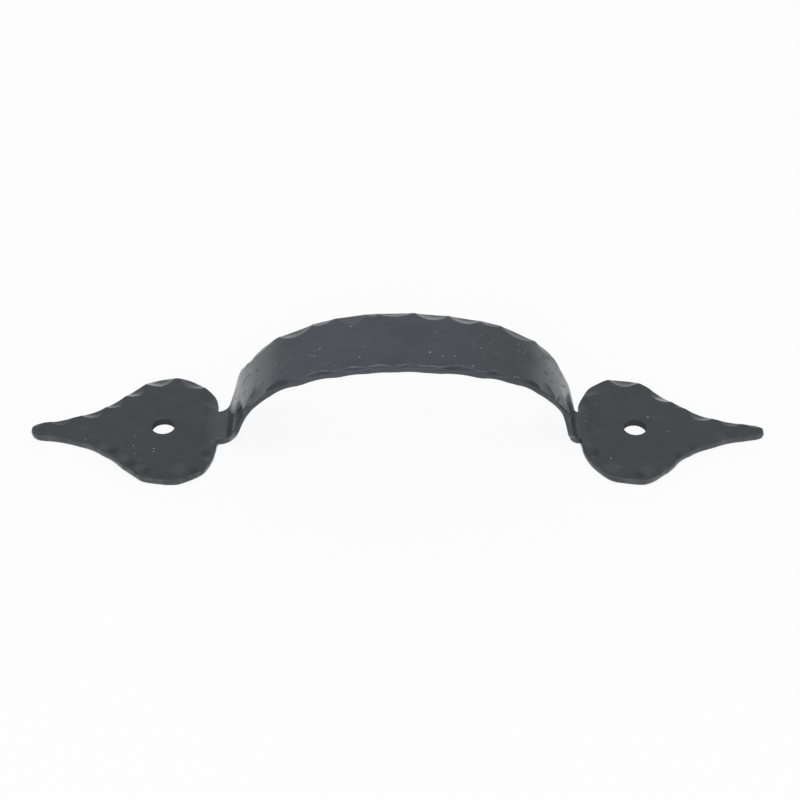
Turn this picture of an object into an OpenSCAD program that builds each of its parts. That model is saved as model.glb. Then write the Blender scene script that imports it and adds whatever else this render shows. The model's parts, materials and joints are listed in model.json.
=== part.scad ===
// Hammered steel cabinet pull: one strip of flat steel, bent into an arch between two heart-shaped leaves.

/* [Fixing] */
// Distance between the centres of the two screw holes
hole_spacing = 114.3; // [100:0.1:140]
// Diameter of each screw hole
hole_d = 5.6; // [3:0.1:8]
// Distance from the left foot of the arch to its screw hole
left_inset = 13.7; // [10:0.1:18]
// Distance from the right foot of the arch to its screw hole
right_inset = 13.3; // [10:0.1:18]

/* [Leaves] */
// Length of a leaf from the foot of the arch to its tip
leaf_len = 45.4; // [36:0.1:60]
// Width of a leaf across its lobes
leaf_w = 38; // [28:0.1:50]
// Width of the blunt end of a leaf's tip
tip_w = 1; // [0.6:0.1:2]

/* [Arch] */
// Height of the outer face of the grip above the surface that the pull is screwed to
projection = 29; // [24:0.1:40]
// Thickness of the steel strip
gauge = 1.9; // [1.2:0.1:3.5]
// Width of the strap at the crown
strap_w = 20.1; // [15:0.1:26]
// Width of the neck where the arch meets a leaf
neck_w = 9.6; // [7:0.1:14]
// Angle that the crown turns through on the left before its shoulder
left_crown_deg = 23; // [14:0.5:30]
// Angle that the crown turns through on the right before its shoulder
right_crown_deg = 16.5; // [12:0.5:30]
// Slope of the left leg
left_leg_deg = 70; // [55:0.5:82]
// Slope of the right leg
right_leg_deg = 77.5; // [55:0.5:82]
// Radius of each shoulder, through the middle of the strip
shoulder_r = 23.5; // [8:0.5:30]
// Radius of the bend at the left foot, on its hollow side
left_foot_r = 2.2; // [0.8:0.1:6]
// Radius of the bend at the right foot, on its hollow side
right_foot_r = 1; // [0.8:0.1:6]

/* [Hammering] */
// Size of the hammer marks, as a share of those drawn
mark_size = 1; // [0.6:0.05:1.4]
// Depth of the hammer marks, as a share of those drawn
mark_depth = 1; // [0:0.05:1.5]
// Width of the softened corner between hammer marks
edge_ease = 0.2; // [0.1:0.05:0.5]
// How far the far edges spread beyond their drawn lines
far_spread = 0.12; // [0:0.01:0.6]
// How far the near edges spread beyond their drawn lines
near_spread = 0.42; // [0:0.01:0.6]
// Distance from a tip over which marks and spread fade out
fade_len = 2; // [1:0.1:5]

/* [Hidden] */

LEFT = 0;
RIGHT = 1;
FAR = 0;
NEAR = 1;
deg_per_rad = 180 / PI;

// Bend path: the middle of the strip from the crown out to the foot of the arch
half_span = [hole_spacing / 2 - left_inset, hole_spacing / 2 - right_inset];
rise = projection - gauge;
foot_mid_r = [left_foot_r + gauge / 2, right_foot_r + gauge / 2];
crown_deg = [left_crown_deg, right_crown_deg];
leg_deg = [left_leg_deg, right_leg_deg];
shortest_leg = 0.5;
spread = [far_spread, near_spread];

// Lengths that the hammer marks are drawn along: half of the arch, then the far and near edge of the leaf
drawn_arch = [55.8, 57.3];
drawn_leaf = [[59.6, 61.1], [58.2, 59.3]];

// Greatest share of the way to the middle that a facet reaches
facet_share = 0.8;

// Steps along each stretch: crown, shoulder, leg, foot bend, leaf
crown_steps = 20;
shoulder_steps = 18;
leg_steps = 5;
foot_steps = 8;
leaf_steps = 62;

// Steps between two points of an outline, and round a screw hole
curve_steps = 6;
hole_steps = 48;

// How far a hole's cutter runs past both faces
cut_past = 1;

// Place of the back's middle in the list of points that makes a section
back_point = 6;

// Strap edges: share of the way from crown to foot, then width from neck (0) to full strap (100), in percent
strap_edge = [
    [
        [
            [0, 100], [20, 101], [40, 98], [55, 87], [61, 87], [67, 81], [72, 78],
            [76, 99], [80, 126], [83, 108], [86, 72], [94, 39], [100, 20]
        ],
        [
            [0, 103], [20, 104], [40, 96], [55, 86], [65, 82], [71, 70],
            [80, 66], [85, 62], [90, 40], [95, -1], [100, -7]
        ]
    ],
    [
        [
            [0, 101], [20, 101], [40, 94], [55, 76], [61, 72], [66, 73],
            [69.5, 55], [73, 41], [77, 37], [80, 28], [87, 17], [100, 22]
        ],
        [
            [0, 103], [20, 100], [40, 89], [55, 75], [65, 60], [73, 41],
            [80, 18], [84, 31], [87, 42], [90.5, 36], [95, -6], [100, -20]
        ]
    ]
];

// Leaf edges: share of the leaf's length, then share of its half width, in percent
leaf_edge = [
    [
        [
            [2.2, 31], [2.2, 43], [4.3, 60], [10.7, 79], [19.7, 94.5], [28.4, 98], [36.8, 94.5], [44.8, 82.5],
            [54, 58.5], [63.4, 37], [75, 21.5], [87.4, 10.5], [95, 7], [98.8, 3]
        ],
        [
            [1.5, 29.5], [1.6, 43], [2.8, 60], [7.7, 84], [16.7, 98], [24.7, 100.5], [35, 97], [43.6, 84],
            [53, 60.5], [62, 43.5], [73, 29.5], [84.4, 20.5], [94, 17.5], [98.6, 13.2]
        ]
    ],
    [
        [
            [0.2, 33], [0.5, 46], [3.2, 61.5], [7.3, 80], [16, 94.5], [21.6, 97], [33, 92], [41, 76.5],
            [49.2, 56], [58.6, 36.5], [67, 23.5], [76, 14.3], [87, 7.5], [94, 4.5], [96.9, 0.5]
        ],
        [
            [0.7, 27], [1.6, 43], [3.8, 59], [7.6, 75], [13.5, 90], [21, 95.8], [29.4, 98], [36.8, 93],
            [44, 75.5], [52.8, 52.3], [61, 38], [72, 26], [83, 17.5], [93, 13], [97, 10]
        ]
    ]
];
// Middle of each tip: share of the leaf's length, then share of its half width to the far side, in percent
tip_at = [[100.4, -5], [97.8, -4.5]];

// Hammer marks along the strap: distance from the crown, length, reach in from the edge, drop, cut into it
strap_marks = [
    [
        [
            [1.2, 9.4, 1.6, 0.2, 0], [6.3, 4, 1.2, 0.12, 0], [11, 7.6, 3.6, 0.16, 0],
            [18.5, 6.4, 1.5, 0.16, 0], [25, 9.4, 3.2, 0.5, 0], [34.8, 8.5, 1.8, 0.3, 0],
            [38.6, 3, 1, 0.2, 0.3], [43.5, 6, 1.6, 0.2, 0]
        ],
        [
            [4.6, 5, 0.8, 0.5, 0.1], [10.8, 5.6, 0.9, 0.5, 0.2], [19, 8, 1, 0.6, 0.45],
            [28.6, 7.6, 1.6, 0.6, 0.35], [36, 9, 4, 0.75, 0.15], [44, 8, 4.5, 0.75, 0.15],
            [50.5, 6, 2.4, 0.4, 0.1]
        ]
    ],
    [
        [
            [7.7, 8.6, 2.6, 0.31, 0], [15.5, 8.6, 2.5, 0.28, 0], [21.6, 6.4, 1.4, 0.14, 0],
            [28.5, 9.4, 2.9, 0.5, 0], [36.5, 6.5, 2.2, 0.3, 0], [44, 6, 1.6, 0.2, 0]
        ],
        [
            [2.8, 6, 1, 0.55, 0.2], [7.4, 3, 0.6, 0.25, 0], [14, 8.6, 1.3, 0.7, 0.4],
            [22.8, 6, 0.9, 0.5, 0.45], [31.4, 5.6, 1, 0.5, 0.3], [36, 6, 3.4, 0.45, 0],
            [42.6, 7, 3.2, 0.55, 0.1], [50, 7, 2.4, 0.4, 0]
        ]
    ]
];

// Hammer marks round the leaves: distance along the edge from the foot, length, reach, drop and cut
leaf_marks = [
    [
        [
            [5.8, 9.5, 3.7, 0.16, 0], [15, 8.4, 2.8, 0.28, 0], [23.9, 8.2, 3.1, 0.38, 0],
            [31, 6.8, 2.9, 0.34, 0], [37.4, 6.6, 2.3, 0.26, 0], [43.7, 6.8, 2.4, 0.28, 0],
            [51.8, 5.6, 2.1, 0.18, 0], [57.6, 3.4, 1, 0.12, 0]
        ],
        [
            [5.8, 7.2, 2.9, 0.3, 0.2], [10, 4, 2, 0.12, 0.1], [14.6, 7.4, 2.6, 0.16, 0.25],
            [18.8, 6, 3.9, 0.12, 0], [24, 5.4, 3.1, 0.2, 0.2], [30.4, 6, 3.6, 0.16, 0.25],
            [37.6, 4.6, 2.6, 0.18, 0.1], [44.2, 6, 2.2, 0.16, 0.2], [51, 4.4, 1.6, 0.14, 0],
            [56, 4, 1.2, 0.14, 0.05]
        ]
    ],
    [
        [
            [3, 6.4, 3.6, 0.08, 0], [10.4, 8.6, 3.6, 0.2, 0], [19.8, 8.4, 2.8, 0.33, 0],
            [30.5, 7.6, 2.2, 0.44, 0], [36, 4, 1, 0.1, 0], [42, 7.2, 2.4, 0.32, 0],
            [49.6, 5.8, 1.7, 0.2, 0], [55.4, 4, 0.9, 0.12, 0]
        ],
        [
            [5.6, 6, 2.8, 0.3, 0], [12.8, 7.4, 3.7, 0.16, 0.1], [19.6, 6, 1.8, 0.16, 0.1],
            [24, 5, 3.4, 0.15, 0], [27, 7, 1.6, 0.4, 0.4], [36, 5.4, 1.4, 0.45, 0.25],
            [41.4, 5, 1.4, 0.25, 0.1], [49.6, 6.6, 2.4, 0.16, 0.15], [56, 4, 1.1, 0.14, 0.1]
        ]
    ]
];

// How far the crown and the leg's slope turn one against the other
function turn(side) =
    let (t = crown_deg[side], g = leg_deg[side])
    sin(t) * sin(g) - cos(g) * (1 - cos(t));

// Largest shoulder that leaves a straight leg between it and the foot
function shoulder_limit(side) =
    let (t = crown_deg[side], g = leg_deg[side])
    let (across = half_span[side] - foot_mid_r[side] * sin(g), up = rise - foot_mid_r[side] * (1 - cos(g)))
    (up * sin(t) - across * (1 - cos(t)) - shortest_leg * turn(side))
        / ((cos(t) - cos(g)) * sin(t) - (sin(g) - sin(t)) * (1 - cos(t)));

function shoulder(side) = min(shoulder_r, shoulder_limit(side));

// Crown radius and leg length that close the path between crown and foot
function closing(side) =
    let (t = crown_deg[side], g = leg_deg[side], r = shoulder(side))
    let (across = half_span[side] - r * (sin(g) - sin(t)) - foot_mid_r[side] * sin(g))
    let (up = rise - r * (cos(t) - cos(g)) - foot_mid_r[side] * (1 - cos(g)))
    [(across * sin(g) - up * cos(g)) / turn(side), (up * sin(t) - across * (1 - cos(t))) / turn(side)];

// Lengths of the crown, shoulder, leg and foot bend
function stretches(side) =
    let (c = closing(side), t = crown_deg[side], g = leg_deg[side])
    [
        c[0] * t / deg_per_rad,
        shoulder(side) * (g - t) / deg_per_rad,
        c[1],
        foot_mid_r[side] * g / deg_per_rad
    ];

function arch_len(side) = let (l = stretches(side)) l[0] + l[1] + l[2] + l[3];

// Point of an arc that turns down from angle a0 to angle a1, starting at p
function arc_to(p, r, a0, a1) = p + r * [sin(a1) - sin(a0), cos(a1) - cos(a0)];

// Place and slope of the strip's middle at distance s from the crown: [out, up, slope]
function bend_at(side, s) =
    let (l = stretches(side), r0 = closing(side)[0], r1 = shoulder(side), r2 = foot_mid_r[side])
    let (t = crown_deg[side], g = leg_deg[side])
    let (top = [0, projection - gauge / 2])
    let (a = arc_to(top, r0, 0, t))
    let (b = arc_to(a, r1, t, g))
    let (c = b + l[2] * [cos(g), -sin(g)])
    let (s1 = s - l[0], s2 = s1 - l[1], s3 = s2 - l[2], s4 = s3 - l[3])
    let (on_crown = s / r0 * deg_per_rad)
    let (on_shoulder = t + s1 / r1 * deg_per_rad)
    let (on_foot = g - s3 / r2 * deg_per_rad)
    s1 <= 0 ? concat(arc_to(top, r0, 0, on_crown), on_crown)
    : s2 <= 0 ? concat(arc_to(a, r1, t, on_shoulder), on_shoulder)
    : s3 <= 0 ? concat(b + s2 * [cos(g), -sin(g)], g)
    : s4 <= 0 ? concat(arc_to(c, -r2, g, on_foot), on_foot)
    : [half_span[side] + s4, gauge / 2, 0];

// A point of the flat blank, s along and y across at height z, carried to its place on the bent strip
function bent(side, s, y, z) =
    let (m = bend_at(side, s), h = z - gauge / 2)
    [(side == LEFT ? -1 : 1) * (m[0] + h * sin(m[2])), y, m[1] + h * cos(m[2])];

// Smooth curve through a list of points
function through(p, i, t) =
    let (a = p[max(i - 1, 0)], b = p[i], c = p[i + 1], d = p[min(i + 2, len(p) - 1)])
    0.5 * (2 * b + (c - a) * t + (2 * a - 5 * b + 4 * c - d) * t * t + (3 * b - a - 3 * c + d) * t * t * t);

function curve(p) = [
    for (i = [0 : len(p) - 2]) for (k = [0 : curve_steps - 1]) through(p, i, k / curve_steps),
    p[len(p) - 1]
];

// Distance along a line of points at each of its points
function run(p, i = 0, sum = 0, out = []) =
    i == len(p) ? out
    : let (d = i == 0 ? 0 : norm(p[i] - p[i - 1])) run(p, i + 1, sum + d, concat(out, [sum + d]));

// Half width of the strap at each share of the arch, along one edge
function strap_half(side, edge, f) =
    neck_w / 2 + (strap_w - neck_w) / 2 * lookup(f, curve(strap_edge[side][edge])) / 100;

// One edge of a leaf as a smooth line: [out from the foot, across]
function leaf_line(side, edge) =
    let (middle = tip_at[side][1] * (edge == FAR ? 1 : -1))
    let (end = [tip_at[side][0] / 100 * leaf_len, middle / 100 * leaf_w / 2 + tip_w / 2])
    curve(concat(
        [[0, strap_half(side, edge, 100)]],
        [for (p = leaf_edge[side][edge]) [p[0] / 100 * leaf_len, p[1] / 100 * leaf_w / 2]],
        [end]
    ));

// Marks set out along an edge: [place, half length, reach, drop, cut]
function marks_along(marks, stretch) = [
    for (m = marks)
        [m[0] * stretch, m[1] / 2 * mark_size, m[2] * mark_size, m[3] * mark_depth, m[4] * mark_depth]
];

// Marks on one edge of half the strap, with those of the other half that reach over the crown
function strap_marks_on(side, edge) =
    let (own = strap_marks[side][edge], other = strap_marks[1 - side][edge])
    concat(
        marks_along(own, arch_len(side) / drawn_arch[side]),
        [
            for (m = marks_along(other, arch_len(1 - side) / drawn_arch[1 - side]))
                [-m[0], m[1], m[2], m[3], m[4]]
        ]
    );

// How strongly the marks act at a place: [reach, drop, cut]
function struck(marks, at) =
    let (hits = [
        for (m = marks)
            let (x = (at - m[0]) / m[1])
            if (abs(x) < 1) (1 - x * x) * [m[2], m[3], m[4]]
    ])
    [
        max(edge_ease, max([for (h = hits) h[0], 0])),
        max(edge_ease, max([for (h = hits) h[1], 0])),
        max([for (h = hits) h[2], 0])
    ];

// Stations of the arch, as distances from the crown
function arch_stations(side) =
    let (l = stretches(side))
    concat(
        [for (i = [0 : crown_steps - 1]) l[0] * i / crown_steps],
        [for (i = [0 : shoulder_steps - 1]) l[0] + l[1] * i / shoulder_steps],
        [for (i = [0 : leg_steps - 1]) l[0] + l[1] + l[2] * i / leg_steps],
        [for (i = [0 : foot_steps]) l[0] + l[1] + l[2] + l[3] * i / foot_steps]
    );

// One edge of half the blank as drawn, from the crown to the tip: [along, across, reach, drop, cut]
function arch_edge(side, edge) =
    let (length = arch_len(side), marks = strap_marks_on(side, edge))
    [for (s = arch_stations(side)) concat([s, strap_half(side, edge, s / length * 100)], struck(marks, s))];

function tip_edge(side, edge) =
    let (line = leaf_line(side, edge), at = run(line), length = at[len(at) - 1])
    let (out = [for (i = [0 : len(at) - 1]) [at[i], line[i][0]]])
    let (across = [for (i = [0 : len(at) - 1]) [at[i], line[i][1]]])
    let (marks = marks_along(leaf_marks[side][edge], length / drawn_leaf[side][edge]))
    [
        for (i = [1 : leaf_steps])
            let (d = length * i / leaf_steps)
            concat([arch_len(side) + lookup(d, out), lookup(d, across)], struck(marks, d))
    ];

function whole_edge(side, edge) = concat(arch_edge(side, edge), tip_edge(side, edge));

// The line that each section crosses between its two edges: [along, across]
function middles(side) =
    let (length = arch_len(side), tip = tip_at[side] / 100)
    concat(
        [for (s = arch_stations(side)) [s, 0]],
        [
            for (i = [1 : leaf_steps])
                let (f = i / leaf_steps)
                [length + tip[0] * leaf_len * f, tip[1] * leaf_w / 2 * f]
        ]
    );

// Direction into the blank at point i of an edge
function inward(line, i) =
    let (a = line[max(i - 1, 0)], b = line[min(i + 1, len(line) - 1)])
    let (d = [b[0] - a[0], b[1] - a[1]])
    [d[1], -d[0]] / norm(d);

// One edge as hammered, spread out and cut in at its marks: [along, across, reach, drop, inward direction]
function hammered_edge(side, edge) =
    let (line = whole_edge(side, edge), tip = arch_len(side) + tip_at[side][0] / 100 * leaf_len)
    [
        for (i = [0 : len(line) - 1])
            let (p = line[i], d = inward(line, i), fade = min(1, max(0, (tip - p[0]) / fade_len)))
            let (out = (spread[edge] - p[4]) * fade)
            [p[0] - d[0] * out, p[1] - d[1] * out, p[2] * fade, p[3], d[0], d[1]]
    ];

// Where the facet at point e of an edge starts, short of the middle m
function facet(e, m) =
    let (reach = min(e[2], facet_share * norm([m[0] - e[0], m[1] - e[1]])))
    [e[0] + e[4] * reach, e[1] + e[5] * reach];

// Sections of half the pull, crown to tip: far edge, far facet, middle, near facet, near edge, then the back
function sections(side) =
    let (far = hammered_edge(side, FAR), near = hammered_edge(side, NEAR), mid = middles(side))
    [
        for (i = [0 : len(mid) - 1])
            let (f = far[i], n = near[i], m = mid[i])
            let (ff = facet(f, m), nf = facet(n, [m[0], -m[1]]))
            [
                bent(side, f[0], f[1], gauge - f[3]),
                bent(side, ff[0], ff[1], gauge),
                bent(side, m[0], m[1], gauge),
                bent(side, nf[0], -nf[1], gauge),
                bent(side, n[0], -n[1], gauge - n[3]),
                bent(side, n[0], -n[1], 0),
                bent(side, m[0], m[1], 0),
                bent(side, f[0], f[1], 0)
            ]
    ];

// Skin over a row of sections that each have the same number of points
module skinned(rows) {
    m = len(rows[0]);
    last = len(rows) - 1;
    walls = [
        for (i = [0 : last - 1])
            for (j = [0 : m - 1])
                let (a = i * m + j, b = i * m + (j + 1) % m)
                each [[a, a + m, b + m], [a, b + m, b]]
    ];
    ends = [
        for (j = [0 : m - 3])
            let (a = back_point, b = (back_point + 1 + j) % m, c = (back_point + 2 + j) % m, top = last * m)
            each [[a, b, c], [top + a, top + c, top + b]]
    ];
    polyhedron(points = [for (row = rows) each row], faces = concat(walls, ends), convexity = 6);
}

module forged_strip() {
    left = sections(LEFT);
    right = sections(RIGHT);
    skinned(concat([for (i = [len(left) - 1 : -1 : 1]) left[i]], right));
}

module screw_hole(side) {
    translate([(side == LEFT ? -1 : 1) * hole_spacing / 2, 0, -cut_past])
        cylinder(h = gauge + 2 * cut_past, d = hole_d, $fn = hole_steps);
}

module pull() {
    color([0.29, 0.3, 0.32])
        difference() {
            forged_strip();
            screw_hole(LEFT);
            screw_hole(RIGHT);
        }
}

pull();
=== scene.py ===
"""Looks of a hand-hammered cabinet pull: one strip of flat steel, bent into an arch between two heart-shaped
leaves, drilled twice and painted satin black. Sizes are in millimetres until a mesh is made of them."""

import json
import math

import bpy
import numpy as np
from mathutils import Matrix, Vector


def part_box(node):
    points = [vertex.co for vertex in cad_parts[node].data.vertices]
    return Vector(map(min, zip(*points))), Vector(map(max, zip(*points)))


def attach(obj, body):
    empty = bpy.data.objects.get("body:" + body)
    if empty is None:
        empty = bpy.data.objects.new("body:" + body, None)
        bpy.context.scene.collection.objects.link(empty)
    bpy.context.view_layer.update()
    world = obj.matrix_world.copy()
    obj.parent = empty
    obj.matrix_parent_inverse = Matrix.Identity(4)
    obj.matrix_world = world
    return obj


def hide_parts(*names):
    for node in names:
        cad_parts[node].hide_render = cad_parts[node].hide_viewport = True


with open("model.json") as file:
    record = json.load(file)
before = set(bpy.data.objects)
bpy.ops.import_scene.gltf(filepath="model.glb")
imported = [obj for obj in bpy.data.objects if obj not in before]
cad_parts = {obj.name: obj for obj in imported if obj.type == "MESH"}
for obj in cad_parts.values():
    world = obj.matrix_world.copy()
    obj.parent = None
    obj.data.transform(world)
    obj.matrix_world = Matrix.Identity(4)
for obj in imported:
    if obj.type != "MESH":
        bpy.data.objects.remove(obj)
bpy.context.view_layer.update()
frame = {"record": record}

MM = 0.001
LEFT, RIGHT = 0, 1
FAR, NEAR = 0, 1
SIGN = (-1, 1)

# Driving sizes: the holes and the projection come from the frame, the rest repeats the part's own values
holes = next(mount for mount in frame["record"]["mounts"] if mount["name"] == "screw_holes")["dims"]
HOLE_SPACING = holes["spacing_x_mm"]
HOLE_R = holes["hole_r_mm"]
PROJECTION = round(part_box("pull")[1][2] / MM, 1)
INSET = (13.7, 13.3)
LEAF_LEN = 45.4
LEAF_W = 38
TIP_W = 1
GAUGE = 1.9
STRAP_W = 20.1
NECK_W = 9.6
CROWN = np.radians([23, 16.5])
LEG = np.radians([70, 77.5])
SHOULDER_R = 23.5
FOOT_R = (2.2, 1)

# Softened corners: far and near front edges of the leaves and of the strap, back edges, tip ends, hole rims
LEAF_EASE = (0.12, 0.3)
STRAP_EASE = (0.12, 0.18)
BACK_EASE = 0.3
TIP_EASE = 0.45
RIM_EASE = 0.04
# How far the walls stand out half way up
WALL_BELLY = 0.1
# How far hammering spread each edge beyond its drawn line, and the stretch before a tip over which that fades
SPREAD = (0.1, 0.4)
FADE_LEN = 2

# Strap edges: share of the way from crown to foot, then width from neck (0) to full strap (100), in percent
STRAP_EDGE = (
    (
        (
            (0, 100), (20, 101), (40, 98), (55, 87), (61, 87), (67, 81), (72, 78),
            (76, 99), (80, 126), (83, 108), (86, 72), (94, 39), (100, 20),
        ),
        (
            (0, 103), (20, 104), (40, 96), (55, 86), (65, 82), (71, 70),
            (80, 66), (85, 62), (90, 40), (95, -1), (100, -7),
        ),
    ),
    (
        (
            (0, 101), (20, 101), (40, 94), (55, 76), (61, 72), (66, 73),
            (69.5, 55), (73, 41), (77, 37), (80, 28), (87, 17), (100, 22),
        ),
        (
            (0, 103), (20, 100), (40, 89), (55, 75), (65, 60), (73, 41),
            (80, 18), (84, 31), (87, 42), (90.5, 36), (95, -6), (100, -20),
        ),
    ),
)

# Leaf edges: share of the leaf's length, then share of its half width, in percent
LEAF_EDGE = (
    (
        (
            (2.2, 31), (2.2, 43), (4.3, 60), (10.7, 79), (19.7, 94.5), (28.4, 98), (36.8, 94.5),
            (44.8, 82.5), (54, 58.5), (63.4, 37), (75, 21.5), (87.4, 10.5), (95, 7), (98.8, 3),
        ),
        (
            (1.5, 29.5), (1.6, 43), (2.8, 60), (7.7, 84), (16.7, 98), (24.7, 100.5), (35, 97),
            (43.6, 84), (53, 60.5), (62, 43.5), (73, 29.5), (84.4, 20.5), (94, 17.5), (98.6, 13.2),
        ),
    ),
    (
        (
            (0.2, 33), (0.5, 46), (3.2, 61.5), (7.3, 80), (16, 94.5), (21.6, 97), (33, 92), (41, 76.5),
            (49.2, 56), (58.6, 36.5), (67, 23.5), (76, 14.3), (87, 7.5), (94, 4.5), (96.9, 0.5),
        ),
        (
            (0.7, 27), (1.6, 43), (3.8, 59), (7.6, 75), (13.5, 90), (21, 95.8), (29.4, 98), (36.8, 93),
            (44, 75.5), (52.8, 52.3), (61, 38), (72, 26), (83, 17.5), (93, 13), (97, 10),
        ),
    ),
)
# Middle of each tip: share of the leaf's length, then share of its half width to the far side, in percent
TIP_AT = ((100.4, -5), (97.8, -4.5))

# Hammer blows along the strap: distance from the crown, length along the edge, reach in from it, drop of the
# face, and cut into the outline
STRAP_BLOWS = (
    (
        (
            (1.2, 9.4, 1.6, 0.2, 0), (6.3, 4, 1.2, 0.12, 0), (11, 7.6, 3.6, 0.16, 0),
            (18.5, 6.4, 1.5, 0.16, 0), (25, 9.4, 3.2, 0.5, 0), (34.8, 8.5, 1.8, 0.3, 0),
            (38.6, 3, 1, 0.2, 0.3), (43.5, 6, 1.6, 0.2, 0),
        ),
        (
            (4.6, 5, 0.8, 0.5, 0.1), (10.8, 5.6, 0.9, 0.5, 0.2), (19, 8, 1, 0.6, 0.45),
            (28.6, 7.6, 1.6, 0.6, 0.35), (36, 9, 4, 0.75, 0.15), (44, 8, 4.5, 0.75, 0.15),
            (50.5, 6, 2.4, 0.4, 0.1),
        ),
    ),
    (
        (
            (7.7, 8.6, 2.6, 0.31, 0), (15.5, 8.6, 2.5, 0.28, 0), (21.6, 6.4, 1.4, 0.14, 0),
            (28.5, 9.4, 2.9, 0.5, 0), (36.5, 6.5, 2.2, 0.3, 0), (44, 6, 1.6, 0.2, 0),
        ),
        (
            (2.8, 6, 1, 0.55, 0.2), (7.4, 3, 0.6, 0.25, 0), (14, 8.6, 1.3, 0.7, 0.4),
            (22.8, 6, 0.9, 0.5, 0.45), (31.4, 5.6, 1, 0.5, 0.3), (36, 6, 3.4, 0.45, 0),
            (42.6, 7, 3.2, 0.55, 0.1), (50, 7, 2.4, 0.4, 0),
        ),
    ),
)

# Hammer blows round the leaves: distance along the edge from the foot, length, reach, drop and cut
LEAF_BLOWS = (
    (
        (
            (5.8, 9.5, 3.7, 0.16, 0), (15, 8.4, 2.8, 0.28, 0), (23.9, 8.2, 3.1, 0.38, 0),
            (31, 6.8, 2.9, 0.34, 0), (37.4, 6.6, 2.3, 0.26, 0), (43.7, 6.8, 2.4, 0.28, 0),
            (51.8, 5.6, 2.1, 0.18, 0), (57.6, 3.4, 1, 0.12, 0),
        ),
        (
            (5.8, 7.2, 2.9, 0.3, 0.2), (10, 4, 2, 0.12, 0.1), (14.6, 7.4, 2.6, 0.16, 0.25),
            (18.8, 6, 3.9, 0.12, 0), (24, 5.4, 3.1, 0.2, 0.2), (30.4, 6, 3.6, 0.16, 0.25),
            (37.6, 4.6, 2.6, 0.18, 0.1), (44.2, 6, 2.2, 0.16, 0.2), (51, 4.4, 1.6, 0.14, 0),
            (56, 4, 1.2, 0.14, 0.05),
        ),
    ),
    (
        (
            (3, 6.4, 3.6, 0.08, 0), (10.4, 8.6, 3.6, 0.2, 0), (19.8, 8.4, 2.8, 0.33, 0),
            (30.5, 7.6, 2.2, 0.44, 0), (36, 4, 1, 0.1, 0), (42, 7.2, 2.4, 0.32, 0),
            (49.6, 5.8, 1.7, 0.2, 0), (55.4, 4, 0.9, 0.12, 0),
        ),
        (
            (5.6, 6, 2.8, 0.3, 0), (12.8, 7.4, 3.7, 0.16, 0.1), (19.6, 6, 1.8, 0.16, 0.1),
            (24, 5, 3.4, 0.15, 0), (27, 7, 1.6, 0.4, 0.4), (36, 5.4, 1.4, 0.45, 0.25),
            (41.4, 5, 1.4, 0.25, 0.1), (49.6, 6.6, 2.4, 0.16, 0.15), (56, 4, 1.1, 0.14, 0.1),
        ),
    ),
)

# A blow is a dish: it starts softly, is soon at its steepest, and eases off towards the edge. Where two meet,
# the ridge between them is soft
RUN_IN = 0.08
DISH = 0.35
BLEND = 6
# Least reach of the face's fall, and greatest share of the way to the middle that a blow reaches
LEAST_REACH = 0.45
GREATEST_SHARE = 0.8

# Chips in the finish, most of them where the legs were bent: side, distance from the crown, place across,
# length, width, turn
CHIPS = (
    (LEFT, 41, 2.6, 2.6, 0.35, 133), (LEFT, 38.7, 2.4, 3.6, 0.35, 40), (LEFT, 40.2, -2.2, 2.3, 0.4, 175),
    (LEFT, 36.1, -5, 2.2, 0.4, 125), (LEFT, 33.4, -5.6, 1.7, 0.3, 132), (LEFT, 35.4, 1.5, 1.2, 0.7, 10),
    (LEFT, 45.9, 2.1, 1.6, 0.4, 20), (LEFT, 43.6, 0.4, 1.5, 0.3, 150), (LEFT, 47.2, -0.8, 1.4, 0.3, 170),
    (RIGHT, 35.5, 4.2, 1.1, 0.35, 162), (RIGHT, 37.1, 5.6, 1, 0.35, 142), (RIGHT, 37.5, 1.8, 1, 0.35, 142),
    (RIGHT, 38.5, 1.5, 1.9, 0.35, 110), (RIGHT, 39.6, 2.1, 1.7, 0.35, 134),
    (RIGHT, 35.9, -1.3, 1.5, 0.4, 165), (RIGHT, 37.4, -2.9, 0.8, 0.4, 150), (RIGHT, 40.2, -1.1, 1, 0.4, 160),
    (RIGHT, 43, 0.8, 4.1, 0.35, 44), (RIGHT, 45.1, 2, 1.3, 0.3, 157), (RIGHT, 45.9, 1, 1.5, 0.3, 106),
    (RIGHT, 42.2, 4, 1.4, 0.3, 120), (LEFT, 77.4, 5.3, 0.6, 0.5, 0), (LEFT, 75.4, 4.9, 0.6, 0.4, 0),
    (RIGHT, 78.3, -1, 0.7, 0.6, 0), (RIGHT, 76.1, -6.2, 0.6, 0.4, 60), (LEFT, 70.5, -10.3, 1.6, 0.3, 5),
    (LEFT, 68.4, -11.4, 1.6, 0.3, 8), (LEFT, 66.8, -10.1, 1.5, 0.3, 3),
)
CHIP_DEPTH = 0.09
# How much wider than listed a chip is cut, so that it shows
CHIP_SPREAD = 1.3

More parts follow.
